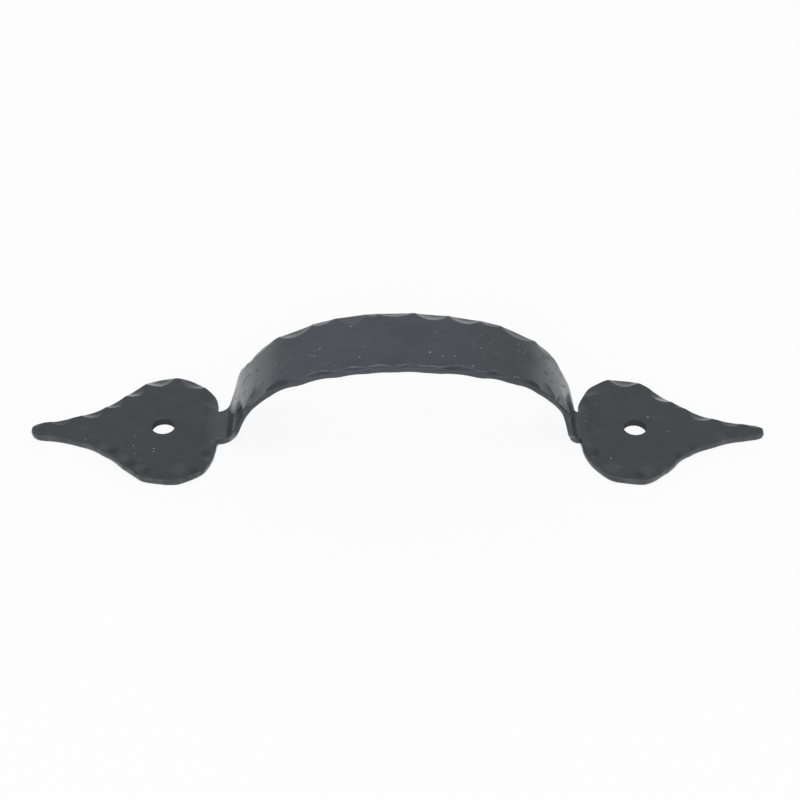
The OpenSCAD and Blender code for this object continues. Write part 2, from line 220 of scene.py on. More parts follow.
# Nibs of grit under the finish: side, distance from the crown, place across, width
NIBS = (
    (LEFT, 71, -8.2, 0.34), (LEFT, 71.1, -9.2, 0.2), (LEFT, 76, -7, 0.24), (LEFT, 75.9, -3.9, 0.2),
    (LEFT, 74.5, -1.8, 0.2), (LEFT, 73.7, -12.2, 0.22), (LEFT, 75.3, -9.9, 0.22), (LEFT, 87.8, -5, 0.24),
    (LEFT, 55.9, -4.2, 0.22), (LEFT, 57.4, -5.8, 0.24), (LEFT, 29.9, -0.4, 0.26), (LEFT, 18.6, -0.3, 0.26),
    (LEFT, 11.3, 6, 0.3), (LEFT, 9, -6.2, 0.3), (LEFT, 19.7, -2.9, 0.2), (LEFT, 8.3, -2.2, 0.22),
    (RIGHT, 7.1, -4.7, 0.4), (RIGHT, 10.1, -5.8, 0.26), (RIGHT, 12.9, -5.3, 0.24), (RIGHT, 17, -8.1, 0.28),
    (RIGHT, 19.1, -0.8, 0.28), (RIGHT, 28.2, 1.8, 0.26), (RIGHT, 26.9, -8.9, 0.24),
    (RIGHT, 27.7, -8.6, 0.24), (RIGHT, 8.6, 3.1, 0.26), (RIGHT, 74.1, 3.9, 0.34), (RIGHT, 63.9, -11.3, 0.3),
    (RIGHT, 55.6, 0, 0.34), (RIGHT, 58.9, 2.3, 0.28), (RIGHT, 28.5, 4.3, 0.22), (RIGHT, 78.6, -1.6, 0.24),
    (RIGHT, 61.8, 8.6, 0.2),
)
# Height of a nib as a share of its width
NIB_HEIGHT = 0.3

# Fine scrapes in the strap's finish: side, distance from the crown, place across, length, turn
SCRAPES = (
    (LEFT, 27.5, 3, 3.6, 10), (LEFT, 27.9, -2.6, 1.4, 138), (LEFT, 27.9, -6.8, 1.1, 118),
    (LEFT, 26.8, -5.6, 1.4, 148), (LEFT, 26, -1.1, 1.4, 120), (LEFT, 31.4, -2.1, 1.2, 49),
    (LEFT, 19.5, -0.7, 2.2, 177), (LEFT, 20.4, -2.4, 2.9, 42), (LEFT, 14.6, -8.1, 2, 29),
    (LEFT, 20.9, -7.6, 2.3, 25), (LEFT, 24.6, -8.7, 1.8, 84), (RIGHT, 17.4, 0.2, 1.8, 122),
    (RIGHT, 21.5, 2.1, 1.7, 43), (RIGHT, 30, 2.2, 2.8, 68), (RIGHT, 19.7, -3.9, 1.8, 98),
    (RIGHT, 21.8, -8.4, 1.6, 40), (RIGHT, 19.3, 3.9, 1.5, 47), (RIGHT, 22.9, -1.8, 1.5, 19),
)
SCRAPE_W = 0.24
SCRAPE_HEIGHT = 0.015

# Soft patches of painted shade, painted sheen and painted highlight, where facets catch darker and lighter
# reflections: side, distance from the crown, place across, radius, and tone
PAINTED_SHADE, PAINTED_SHEEN, PAINTED_HIGHLIGHT = "#141616", "#424548", "#5c6064"
PAINTED_LIGHT_PATCHES = (
    (LEFT, 58.2, -9.8, 1.5, PAINTED_SHADE), (LEFT, 76, -13.4, 1.9, PAINTED_SHADE), (LEFT, 80.6, -8.8, 1.7, PAINTED_SHADE),
    (LEFT, 72.1, -16.2, 1.5, PAINTED_SHADE), (LEFT, 60.7, -16.2, 1.4, PAINTED_SHADE), (RIGHT, 60.4, -9.4, 1.5, PAINTED_SHADE),
    (RIGHT, 70.2, -17, 1.6, PAINTED_SHADE), (LEFT, 83.4, -7.5, 2, PAINTED_SHEEN), (LEFT, 78, -11.6, 1.8, PAINTED_SHEEN),
    (LEFT, 73.7, -15, 1.8, PAINTED_SHEEN), (LEFT, 64.6, -15.6, 2.6, PAINTED_SHEEN), (LEFT, 96.6, -3.8, 1.7, PAINTED_SHEEN),
    (RIGHT, 58.9, -6.4, 1.6, PAINTED_SHEEN), (RIGHT, 63.8, -14.4, 2.8, PAINTED_SHEEN), (RIGHT, 72.4, -15.8, 2.4, PAINTED_SHEEN),
    (RIGHT, 91, -3.2, 2.2, PAINTED_SHEEN), (RIGHT, 32.8, 1, 4.2, PAINTED_SHADE), (RIGHT, 38.6, 2.8, 3, PAINTED_HIGHLIGHT),
    (RIGHT, 43.2, -1.5, 2.6, PAINTED_HIGHLIGHT),
)
# Share of a patch in its middle, and share of its radius out to which it is whole
PATCH_SHARE = 0.6
PATCH_CORE = 0.4


def stretches(side):
    """Radius of the crown, and lengths of the crown, shoulder, leg and foot bend. The crown's radius and the
    leg's length follow from the height and half span of the arch."""
    crown, leg, foot_r = CROWN[side], LEG[side], FOOT_R[side] + GAUGE / 2
    shoulder_across = SHOULDER_R * (math.sin(leg) - math.sin(crown))
    shoulder_up = SHOULDER_R * (math.cos(crown) - math.cos(leg))
    across = HOLE_SPACING / 2 - INSET[side] - shoulder_across - foot_r * math.sin(leg)
    up = PROJECTION - GAUGE - shoulder_up - foot_r * (1 - math.cos(leg))
    turn = math.sin(crown) * math.sin(leg) - math.cos(leg) * (1 - math.cos(crown))
    crown_r = (across * math.sin(leg) - up * math.cos(leg)) / turn
    leg_len = (up * math.sin(crown) - across * (1 - math.cos(crown))) / turn
    return crown_r, (crown_r * crown, SHOULDER_R * (leg - crown), leg_len, foot_r * leg)


ARCH = [sum(stretches(side)[1]) for side in (LEFT, RIGHT)]
TIP = [ARCH[side] + TIP_AT[side][0] / 100 * LEAF_LEN for side in (LEFT, RIGHT)]
HOLE_AT = [ARCH[side] + INSET[side] for side in (LEFT, RIGHT)]


def smooth_line(points, steps=6):
    """Smooth curve through a list of points."""
    points = np.array(points, float)
    share = (np.arange(steps) / steps)[:, None]
    line = []
    last = len(points) - 1
    for i in range(last):
        before, start, end, after = (points[j] for j in (max(i - 1, 0), i, i + 1, min(i + 2, last)))
        line.append(0.5 * (
            2 * start + (end - before) * share
            + (2 * before - 5 * start + 4 * end - after) * share ** 2
            + (3 * start - before - 3 * end + after) * share ** 3
        ))
    return np.vstack(line + [points[-1:]])


def strap_half(side, edge, share):
    """Half width of the strap at each share of the arch, along one edge."""
    line = smooth_line(STRAP_EDGE[side][edge])
    return NECK_W / 2 + (STRAP_W - NECK_W) / 2 * np.interp(share, line[:, 0], line[:, 1]) / 100


def leaf_line(side, edge):
    """One edge of a leaf as a smooth line: out from the foot, then across."""
    middle = TIP_AT[side][1] * (1 if edge == FAR else -1)
    shares = np.array([*LEAF_EDGE[side][edge], (TIP_AT[side][0], middle)]) / 100
    points = shares * (LEAF_LEN, LEAF_W / 2)
    points[-1, 1] += TIP_W / 2
    return smooth_line([(0, strap_half(side, edge, 100)), *points])


def run(line):
    """Distance along a line at each of its points."""
    return np.concatenate([[0], np.cumsum(np.linalg.norm(np.diff(line, axis=0), axis=1))])


# Distance between two sections, on the crown and shoulder and then on the leg and foot bend
WIDE_STEP = 0.36
CLOSE_STEP = 0.22
# Sections of a leaf, and distances from its very tip of a few more, on an edge that is about 60 mm long
LEAF_SECTIONS = 160
TIP_SECTIONS = (0.26, 0.15, 0.07, 0.02, 0)
LEAF_RUN = 60
# Distance each way over which an edge's direction is taken
NORMAL_SPAN = 0.35


def arch_stations(side):
    """Distances from the crown: close together on the leg and the foot bend."""
    high = sum(stretches(side)[1][:2])
    low = ARCH[side] - high
    wide = np.linspace(0, high, round(high / WIDE_STEP), endpoint=False)
    return np.concatenate([wide, high + np.linspace(0, low, round(low / CLOSE_STEP), endpoint=False)])


def leaf_shares():
    """Shares of each leaf edge, with a few more at the very tip for its softened end."""
    even = np.linspace(0, 1, LEAF_SECTIONS)[:-1]
    return np.sort(np.concatenate([even, 1 - np.array(TIP_SECTIONS) / LEAF_RUN]))


def edge_of(side, edge):
    """One edge of half the blank, crown to tip: its places, inward directions, and distances for blows."""
    arch_at = arch_stations(side)
    line = leaf_line(side, edge)
    at = run(line)
    leaf_at = leaf_shares() * at[-1]
    out, across = (np.interp(leaf_at, at, line[:, i]) for i in (0, 1))
    arch = np.stack([arch_at, strap_half(side, edge, arch_at / ARCH[side] * 100)], -1)
    place = np.vstack([arch, np.stack([ARCH[side] + out, across], -1)])
    along = run(place)
    ends = [
        np.stack([np.interp(along + ahead, along, place[:, i]) for i in (0, 1)], -1)
        for ahead in (-NORMAL_SPAN, NORMAL_SPAN)
    ]
    step = ends[1] - ends[0]
    inward = np.stack([step[:, 1], -step[:, 0]], -1)
    inward /= np.linalg.norm(inward, axis=1)[:, None]
    return place, inward, arch_at, leaf_at


def blows_at(blows, at):
    """Each blow at each place along an edge, as arrays [blow, place]: share left of it, reach, drop, cut."""
    centre, length, reach, drop, cut = np.array(blows, float).T[:, :, None]
    return np.clip(1 - (2 * (at - centre) / length) ** 2, 0, 1), reach, drop, cut


def reach_of(blows, at):
    """How far in from the edge the deepest reaching blow starts, at each place along it."""
    left, reach, _, _ = blows_at(blows, at)
    return np.maximum(LEAST_REACH, (reach * left).max(axis=0))


def drop_of(blows, at, inset):
    """How far the blows lower the face at each place along an edge, at a distance in from it."""
    left, reach, drop, _ = blows_at(blows, at)
    depth = np.clip(left - inset / reach, 0, 1)
    started = depth ** 2 * (1 + RUN_IN) / (depth + RUN_IN)
    falls = drop * started * (1 - DISH * depth) / (1 - DISH)
    return (falls ** BLEND).sum(axis=0) ** (1 / BLEND)


def cut_of(blows, at):
    """How far the blows cut into the outline at each place along an edge."""
    left, _, _, cut = blows_at(blows, at)
    return (cut * left).max(axis=0)


def strap_blows(side, edge):
    """Blows on one strap edge, with those of the other half that reach over the crown."""
    return [*STRAP_BLOWS[side][edge], *[(-centre, *rest) for centre, *rest in STRAP_BLOWS[1 - side][edge]]]


def eased(distance, radius):
    """Fall of a rounded corner at a distance in from its edge."""
    near = np.clip(radius - distance, 0, radius)
    return radius - np.sqrt(radius ** 2 - near ** 2)


# Steps round a section: the back corner, the wall, the front corner, the blows, then in to the middle
BACK_CORNER = np.radians([0, 30, 60, 90])
WALL = np.array([0.2, 0.4, 0.6, 0.8])
CORNER = 1 - np.cos(np.radians([0, 22, 44, 66]))
OVER_BLOW = np.array([0, 0.1, 0.22, 0.36, 0.5, 0.64, 0.77, 0.87, 0.95])
TO_MIDDLE = (np.arange(20) / 20) ** 1.5
BACK = np.linspace(0, 1, 14)[1:-1]
# The ridge where a blow starts is rubbed and carries a painted highlight, from this share over the blow
# to this share in to the middle
RUBBED_AND_HIGHLIGHTED = (0.8, 0.015)
# Distances from the crown between which that rubbing and painted highlight fade
RUBBED_AND_HIGHLIGHTED_TO = (14, 28)
# Past the blows, this share of the way in to the middle counts as distance from the edge
PAST_BLOWS = 0.5
# Wear and painted highlight on the near walls of the leaves where no blow cut into them
WORN_AND_HIGHLIGHTED_WALL = 0.1
# Stretch before the foot over which the strap's corner goes over into the leaf's
EASE_OUT = 8


def half_section(side, edge):
    """One side of each section as points [column, row, xyz], back corner up and in to the middle, with its
    traits."""
    place, inward, arch_at, leaf_at = edge_of(side, edge)
    on_strap, on_leaf = strap_blows(side, edge), LEAF_BLOWS[side][edge]
    tip = TIP[side] - WALL_BELLY
    tip_across = TIP_AT[side][1] / 100 * LEAF_W / 2 * (1 if edge == FAR else -1)
    middle = np.vstack([
        np.stack([arch_at, 0 * arch_at], -1),
        leaf_shares()[:, None] * (tip - ARCH[side], tip_across) + (ARCH[side], 0),
    ])
    cut = np.concatenate([cut_of(on_strap, arch_at), cut_of(on_leaf, leaf_at)])
    off_tip = np.clip((tip - place[:, 0]) / FADE_LEN, 0, 1)
    place = place + inward * ((cut - SPREAD[edge]) * off_tip + WALL_BELLY)[:, None]
    to_end = np.maximum(tip - place[:, 0], 0)
    room = np.linalg.norm(middle - place, axis=1)
    reach = np.concatenate([reach_of(on_strap, arch_at), reach_of(on_leaf, leaf_at)])
    reach = np.minimum(reach, GREATEST_SHARE * room)

    # A corner takes no more than half of the reach
    strap_share = np.clip((ARCH[side] - place[:, 0]) / EASE_OUT, 0, 1)
    ease = LEAF_EASE[edge] + (STRAP_EASE[edge] - LEAF_EASE[edge]) * strap_share
    ease = np.minimum(ease, 0.5 * np.maximum(reach, ease))
    reach = np.maximum(reach, 2 * ease)

    def lowered(inset):
        """Fall of the face at a distance in from the edge, one for each column."""
        on_arch, beyond = np.split(inset, [len(arch_at)])
        blows = np.concatenate([drop_of(on_strap, arch_at, on_arch), drop_of(on_leaf, leaf_at, beyond)])
        return blows + np.maximum(eased(inset, ease), eased(to_end, TIP_EASE))

    rows = []
    traits = []

    def row(where, height, corner=0.0, ridge=0.0, face=1.0):
        """Adds a point with its traits to every section."""
        rows.append(np.column_stack([where, height]))
        traits.append(np.column_stack([np.full(len(where), trait) for trait in (corner, ridge, face)]))

    def inside(inset):
        """Places at a distance in from the edge."""
        return place + inward * inset[:, None]

    # Wear and painted highlight: the near ridge over the crown, and the near walls of the leaves, most where
    # a blow cut into them
    crown_share = np.clip((RUBBED_AND_HIGHLIGHTED_TO[1] - place[:, 0]) / (RUBBED_AND_HIGHLIGHTED_TO[1] - RUBBED_AND_HIGHLIGHTED_TO[0]), 0, 1)
    rubbed_and_highlighted = crown_share if edge == NEAR else 0
    worn_and_highlighted_wall = (WORN_AND_HIGHLIGHTED_WALL + cut) * (1 - strap_share) if edge == NEAR else 0

    flush = np.zeros(len(place))
    bottom = eased(to_end, TIP_EASE)
    top = GAUGE - lowered(flush)
    for turn in BACK_CORNER:
        inset = flush + BACK_EASE * (1 - math.sin(turn))
        row(inside(inset), bottom + BACK_EASE * (1 - math.cos(turn)), face=0)
    for rise in WALL:
        belly = WALL_BELLY * (1 - (2 * rise - 1) ** 2)
        level = bottom + BACK_EASE + (top - bottom - BACK_EASE) * rise
        row(inside(flush - belly), level, ridge=worn_and_highlighted_wall, face=0)
    for share_in in CORNER:
        inset = ease * share_in
        row(inside(inset), GAUGE - lowered(inset), corner=1 - share_in, ridge=worn_and_highlighted_wall)
    for share_in in OVER_BLOW:
        inset = ease + (reach - ease) * share_in
        row(inside(inset), GAUGE - lowered(inset), ridge=rubbed_and_highlighted if share_in > RUBBED_AND_HIGHLIGHTED[0] else 0)
    start = inside(reach)
    for share_in in TO_MIDDLE:
        level = GAUGE - lowered(reach + PAST_BLOWS * room * share_in)
        row(start + (middle - start) * share_in, level, ridge=rubbed_and_highlighted if share_in < RUBBED_AND_HIGHLIGHTED[1] else 0)
    return np.stack(rows, 1), np.stack(traits, 1), middle


def blank_mesh():
    """The flat strip with its hammered edges, along X with its crown at 0, ready for the forge."""
    columns = []
    traits = []
    for side in (LEFT, RIGHT):
        far, far_marks, middle = half_section(side, FAR)
        near, near_marks, _ = half_section(side, NEAR)
        near = near * (1, -1, 1)
        centre = np.column_stack([middle, GAUGE - eased(middle[-1, 0] - middle[:, 0], TIP_EASE)])
        back = near[:, :1] + (far[:, :1] - near[:, :1]) * BACK[None, :, None]
        ring = np.concatenate([far, centre[:, None], near[:, ::-1], back], 1)
        face = np.concatenate([
            far_marks, np.tile([0, 0, 1], (len(middle), 1, 1)), near_marks[:, ::-1],
            np.zeros((*back.shape[:2], 3)),
        ], 1)
        ring[:, :, 0] *= SIGN[side]
        columns.append(ring[::-1][:-1] if side == LEFT else ring)
        traits.append(face[::-1][:-1] if side == LEFT else face)
    points = np.concatenate(columns)
    traits = np.concatenate(traits)
    count, size = points.shape[:2]
    index = np.arange(count * size).reshape(count, size)
    around = np.roll(index, -1, axis=1)
    walls = np.stack([index[:-1], index[1:], around[1:], around[:-1]], -1).reshape(-1, 4)
    ends = [index[0].tolist(), index[-1][::-1].tolist()]
    mesh = bpy.data.meshes.new("flat_blank")
    mesh.from_pydata((points.reshape(-1, 3) * MM).tolist(), [], walls.tolist() + ends)
    for name, values in zip(("corner", "ridge", "face"), traits.reshape(-1, 3).T):
        mesh.attributes.new(name, "FLOAT", "POINT").data.foreach_set("value", values.astype(np.float32))
    mesh.validate()
    return mesh


def spots(name, marks):
    """Loose points over the flat blank, each with the size and turn of the mark that is set there. A mark is
    its side, distance from the crown, place across, length, width, height and turn."""
    mesh = bpy.data.meshes.new(name)
    over = [(SIGN[side] * along * MM, across * MM, 2 * GAUGE * MM) for side, along, across, *_ in marks]
    mesh.from_pydata(over, [], [])
    size = mesh.attributes.new("size", "FLOAT_VECTOR", "POINT")
    size.data.foreach_set("vector", (np.array([mark[3:6] for mark in marks], np.float32) * MM / 2).ravel())
    turns = [(0, 0, math.radians(SIGN[side] * turn)) for side, *_, turn in marks]
    mesh.attributes.new("turn", "FLOAT_VECTOR", "POINT").data.foreach_set("vector", np.ravel(turns))
    return bpy.data.objects.new(name, mesh)


def mark_spots():
    """Where the finish is chipped, where grit stands under it, and where it is scraped."""
    return {
        "Chips": spots("chip_spots", [
            (side, along, across, length, CHIP_SPREAD * width, 2 * CHIP_DEPTH, turn)
            for side, along, across, length, width, turn in CHIPS
        ]),
        "Nibs": spots("nib_spots", [
            (side, along, across, width, width, 2 * NIB_HEIGHT * width, 0)
            for side, along, across, width in NIBS
        ]),
        "Scrapes": spots("scrape_spots", [
            (side, along, across, length, SCRAPE_W, 2 * SCRAPE_HEIGHT, turn)
            for side, along, across, length, turn in SCRAPES
        ]),
    }


# Steps of the bend path on the arch, on the foot bends and on the leaves, and how far it runs past each tip
PATH_STEP = 0.2
FOOT_STEP = 0.08
LEAF_STEP = 0.5
PATH_PAST = 1


def bend_path():
    """The line that the middle of the strip follows, left tip to right tip, as a curve of short steps."""
    halves = []
    for side in (LEFT, RIGHT):
        crown_r, lengths = stretches(side)
        place = np.array([0, PROJECTION - GAUGE / 2])
        points = [place]
        arcs = (
            (crown_r, 0, CROWN[side], PATH_STEP),
            (SHOULDER_R, CROWN[side], LEG[side], PATH_STEP),
            (0, LEG[side], LEG[side], PATH_STEP),
            (-FOOT_R[side] - GAUGE / 2, LEG[side], 0, FOOT_STEP),
            (0, 0, 0, LEAF_STEP),
        )
        for (radius, start, end, step), length in zip(arcs, (*lengths, TIP[side] - ARCH[side] + PATH_PAST)):
            if radius:
                turn = np.linspace(start, end, round(length / step))[1:]
                chord = np.stack([np.sin(turn) - math.sin(start), np.cos(turn) - math.cos(start)], -1)
                piece = place + radius * chord
            else:
                along = np.linspace(0, length, round(length / step))[1:, None]
                piece = place + along * (math.cos(start), -math.sin(start))
            points.extend(piece)
            place = points[-1]
        halves.append(np.array(points) * (SIGN[side], 1))
    line = np.vstack([halves[LEFT][:0:-1], halves[RIGHT]]) * MM
    curve = bpy.data.curves.new("bend_path", "CURVE")
    curve.dimensions = "3D"
    spline = curve.splines.new("POLY")
    spline.points.add(len(line) - 1)
    for point, (x, z) in zip(spline.points, line):
        point.co = (x, 0, z, 1)
    return curve


def add_node(tree, kind, inputs=None, **settings):
    """Adds a node to a tree with its settings, fills or links its inputs, and gives back its outputs."""
    node = tree.nodes.new(kind)
    for name, value in settings.items():
        setattr(node, name, value)
    for socket, value in (inputs or {}).items():
        if isinstance(value, bpy.types.NodeSocket):
            tree.links.new(value, node.inputs[socket])
        else:
            node.inputs[socket].default_value = value
    return node.outputs


FORGE_INPUTS = (
    ("Blank", "NodeSocketGeometry"),
    ("Bend Path", "NodeSocketObject"),
    ("Crown At", "NodeSocketFloat"),
    ("Gauge", "NodeSocketFloat"),
    ("Left Hole", "NodeSocketFloat"),
    ("Right Hole", "NodeSocketFloat"),
    ("Hole Radius", "NodeSocketFloat"),
    ("Rim Ease", "NodeSocketFloat"),
    ("Chips", "NodeSocketObject"),
    ("Nibs", "NodeSocketObject"),
    ("Scrapes", "NodeSocketObject"),
    ("Planish Size", "NodeSocketFloat"),
    ("Planish Depth", "NodeSocketFloat"),
    ("Seed", "NodeSocketFloat"),
    ("Finish", "NodeSocketMaterial"),
)
# Sides of a drilled hole
HOLE_SIDES = 72


def planished(tree, given, place):
    """Lowers the face of the blank by shallow hollows all over it, so that nothing stands proud of it."""
    face = add_node(tree, "GeometryNodeInputNamedAttribute", {"Name": "face"}, data_type="FLOAT")[0]
    fineness = add_node(tree, "ShaderNodeMath", {0: 1.0, 1: given["Planish Size"]}, operation="DIVIDE")[0]
    hollows = add_node(tree, "ShaderNodeTexNoise", {
        "Vector": place, "W": given["Seed"], "Scale": fineness, "Detail": 2.0, "Roughness": 0.45,
    }, noise_dimensions="4D")[0]
    on_face = add_node(tree, "ShaderNodeMath", {0: hollows, 1: face}, operation="MULTIPLY")[0]
    depth = add_node(tree, "ShaderNodeMath", {0: on_face, 1: given["Planish Depth"]}, operation="MULTIPLY")[0]
    fall = add_node(tree, "ShaderNodeVectorMath", {0: (0, 0, -1), "Scale": depth}, operation="SCALE")[0]
    return add_node(tree, "GeometryNodeSetPosition", {"Geometry": given["Blank"], "Offset": fall})[0]


def set_marks(tree, given, place, face):
    """Chips, nibs and scrapes: small lens shapes on the face under their points, at each point's size and
    turn."""
    size = add_node(tree, "GeometryNodeInputNamedAttribute", {"Name": "size"}, data_type="FLOAT_VECTOR")[0]
    turn = add_node(tree, "GeometryNodeInputNamedAttribute", {"Name": "turn"}, data_type="FLOAT_VECTOR")[0]
    lens = add_node(tree, "GeometryNodeMeshUVSphere", {"Segments": 14, "Rings": 8, "Radius": 1.0})["Mesh"]
    under = add_node(tree, "GeometryNodeRaycast", {
        "Target Geometry": face, "Source Position": place, "Ray Direction": (0, 0, -1), "Ray Length": 0.1,
    })["Hit Position"]
    marks = {}
    for name in ("Chips", "Nibs", "Scrapes"):
        loose = add_node(tree, "GeometryNodeObjectInfo", {"Object": given[name]})["Geometry"]
        seated = add_node(tree, "GeometryNodeSetPosition", {"Geometry": loose, "Position": under})[0]
        lenses = add_node(tree, "GeometryNodeInstanceOnPoints", {
            "Points": seated, "Instance": lens, "Rotation": turn, "Scale": size,
        })[0]
        real = add_node(tree, "GeometryNodeRealizeInstances", {"Geometry": lenses})[0]
        marks[name] = add_node(tree, "GeometryNodeStoreNamedAttribute", {
            "Geometry": real, "Name": name.lower(), "Value": 1.0,
        }, data_type="FLOAT", domain="POINT")[0]
    return marks


def drills(tree, given):
    """A straight bit and a short cone for the rim, each at both holes and marked as bore."""
    bit_length = add_node(tree, "ShaderNodeMath", {0: given["Gauge"], 1: 3.0}, operation="MULTIPLY")[0]
    bit = add_node(tree, "GeometryNodeMeshCylinder", {
        "Vertices": HOLE_SIDES, "Radius": given["Hole Radius"], "Depth": bit_length,
    })["Mesh"]
    rim = add_node(tree, "ShaderNodeMath", {0: given["Rim Ease"], 1: 2.0}, operation="MULTIPLY")[0]
    wide = add_node(tree, "ShaderNodeMath", {0: given["Hole Radius"], 1: rim}, operation="ADD")[0]
    cone = add_node(tree, "GeometryNodeMeshCone", {
        "Vertices": HOLE_SIDES, "Radius Bottom": given["Hole Radius"], "Radius Top": wide, "Depth": rim,
    })["Mesh"]
    rim_foot = add_node(tree, "ShaderNodeMath", {
        0: given["Gauge"], 1: given["Rim Ease"],
    }, operation="SUBTRACT")[0]
    lift = add_node(tree, "ShaderNodeVectorMath", {0: (0, 0, 1), "Scale": rim_foot}, operation="SCALE")[0]
    raised = add_node(tree, "GeometryNodeTransform", {"Geometry": cone, "Translation": lift})[0]
    left, right = (
        add_node(tree, "ShaderNodeVectorMath", {0: (sign, 0, 0), "Scale": given[hole]}, operation="SCALE")[0]
        for sign, hole in zip(SIGN, ("Left Hole", "Right Hole"))
    )
    centres = add_node(tree, "GeometryNodeMeshLine", {
        "Count": 2, "Start Location": left, "Offset": right,
    }, mode="END_POINTS")[0]
    marked = []
    for cutter in (bit, raised):
        pair = add_node(tree, "GeometryNodeInstanceOnPoints", {"Points": centres, "Instance": cutter})[0]
        real = add_node(tree, "GeometryNodeRealizeInstances", {"Geometry": pair})[0]
        for name, value in (("chips", 0.0), ("bore", 1.0)):
            real = add_node(tree, "GeometryNodeStoreNamedAttribute", {
                "Geometry": real, "Name": name, "Value": value,
            }, data_type="FLOAT", domain="CORNER")[0]
        marked.append(real)
    return marked


def bent(tree, given, place, flat):
    """Carries the flat strip out to the same distance along the path, then off the path by the height above
    the strip's middle."""
    path = add_node(tree, "GeometryNodeObjectInfo", {"Object": given["Bend Path"]})["Geometry"]
    split = add_node(tree, "ShaderNodeSeparateXYZ", {0: place})
    along = add_node(tree, "ShaderNodeMath", {0: split[0], 1: given["Crown At"]}, operation="ADD")[0]
    on_path = add_node(tree, "GeometryNodeSampleCurve", {"Curves": path, "Length": along}, mode="LENGTH")
    outward = add_node(tree, "ShaderNodeVectorMath", {
        0: on_path["Tangent"], 1: (0, 1, 0),
    }, operation="CROSS_PRODUCT")[0]
    half = add_node(tree, "ShaderNodeMath", {0: given["Gauge"], 1: 0.5}, operation="MULTIPLY")[0]
    height = add_node(tree, "ShaderNodeMath", {0: split[2], 1: half}, operation="SUBTRACT")[0]
    off_path = add_node(tree, "ShaderNodeVectorMath", {0: outward, "Scale": height}, operation="SCALE")[0]
    across = add_node(tree, "ShaderNodeVectorMath", {0: (0, 1, 0), "Scale": split[1]}, operation="SCALE")[0]
    aside = add_node(tree, "ShaderNodeVectorMath", {0: off_path, 1: across}, operation="ADD")[0]
    new_place = add_node(tree, "ShaderNodeVectorMath", {0: aside, 1: on_path["Position"]}, operation="ADD")[0]
    return add_node(tree, "GeometryNodeSetPosition", {"Geometry": flat, "Position": new_place})[0]


def forge_tree():
    """Planishes the face of the blank, chips and drills it, sets grit on it, and bends it along the path."""
    tree = bpy.data.node_groups.new("forge strip", "GeometryNodeTree")
    for name, kind in FORGE_INPUTS:
        tree.interface.new_socket(name, in_out="INPUT", socket_type=kind)
    tree.interface.new_socket("Pull", in_out="OUTPUT", socket_type="NodeSocketGeometry")
    given = tree.nodes.new("NodeGroupInput").outputs
    place = add_node(tree, "GeometryNodeInputPosition")[0]

    face = planished(tree, given, place)
    marks = set_marks(tree, given, place, face)
    cut = face
    for cutter in (marks["Chips"], *drills(tree, given)):
        cut = add_node(tree, "GeometryNodeMeshBoolean", {
            "Mesh 1": cut, "Mesh 2": cutter,
        }, operation="DIFFERENCE", solver="EXACT")[0]

    # Nibs and the burrs of scrapes stand on the face
    gritty = tree.nodes.new("GeometryNodeJoinGeometry")
    for part in (marks["Nibs"], marks["Scrapes"], cut):
        tree.links.new(part, gritty.inputs[0])

    # Flat places are kept, so that the finish follows the surface round the bends
    flat = add_node(tree, "GeometryNodeStoreNamedAttribute", {
        "Geometry": gritty.outputs[0], "Name": "blank", "Value": place,
    }, data_type="FLOAT_VECTOR", domain="POINT")[0]
    strip = bent(tree, given, place, flat)
    smooth = add_node(tree, "GeometryNodeSetShadeSmooth", {"Geometry": strip, "Shade Smooth": True})[0]
    whole = add_node(tree, "GeometryNodeRealizeInstances", {"Geometry": smooth})[0]
    done = add_node(tree, "GeometryNodeSetMaterial", {"Geometry": whole, "Material": given["Finish"]})[0]
    add_node(tree, "NodeGroupOutput", {"Pull": done})
    return tree


# Planished hollows: their size, their greatest depth, and the seed of their places
PLANISH_SIZE = 8
PLANISH_DEPTH = 0.16
PLANISH_SEED = 3.0
# Edges that turn by more than this many degrees are shaded sharp
SHARP_FROM = 38


def forged(name, blank, path, finish):
    """Runs the forge tree on the blank and keeps the result as a plain mesh."""
    carrier = bpy.data.objects.new("flat_blank", blank)
    guide = bpy.data.objects.new("bend_path", path)
    marks = mark_spots()
    helpers = (carrier, guide, *marks.values())
    for thing in helpers:
        bpy.context.scene.collection.objects.link(thing)
    modifier = carrier.modifiers.new("forge strip", "NODES")
    modifier.node_group = forge_tree()
    values = {
        "Bend Path": guide,
        "Crown At": (TIP[LEFT] + PATH_PAST) * MM,
        "Gauge": GAUGE * MM,
        "Left Hole": HOLE_AT[LEFT] * MM,
        "Right Hole": HOLE_AT[RIGHT] * MM,
        "Hole Radius": HOLE_R * MM,
        "Rim Ease": RIM_EASE * MM,
        "Planish Size": PLANISH_SIZE * MM,
        "Planish Depth": PLANISH_DEPTH * MM,
        "Seed": PLANISH_SEED,
        "Finish": finish,
        **marks,
    }
    for item in modifier.node_group.interface.items_tree:
        if item.name in values:
            modifier[item.identifier] = values[item.name]
    evaluated = carrier.evaluated_get(bpy.context.evaluated_depsgraph_get())
    mesh = bpy.data.meshes.new_from_object(evaluated)
    for thing in helpers:
        bpy.data.objects.remove(thing)
    mesh.name = name
    mesh.set_sharp_from_angle(angle=math.radians(SHARP_FROM))
    piece = bpy.data.objects.new(name, mesh)
    bpy.context.scene.collection.objects.link(piece)
    return piece


def linear(hex_colour):
    """Linear colour of an sRGB hex value."""
    channels = [int(hex_colour[i:i + 2], 16) / 255 for i in (1, 3, 5)]
    return (*[c / 12.92 if c <= 0.04045 else ((c + 0.055) / 1.055) ** 2.4 for c in channels], 1)


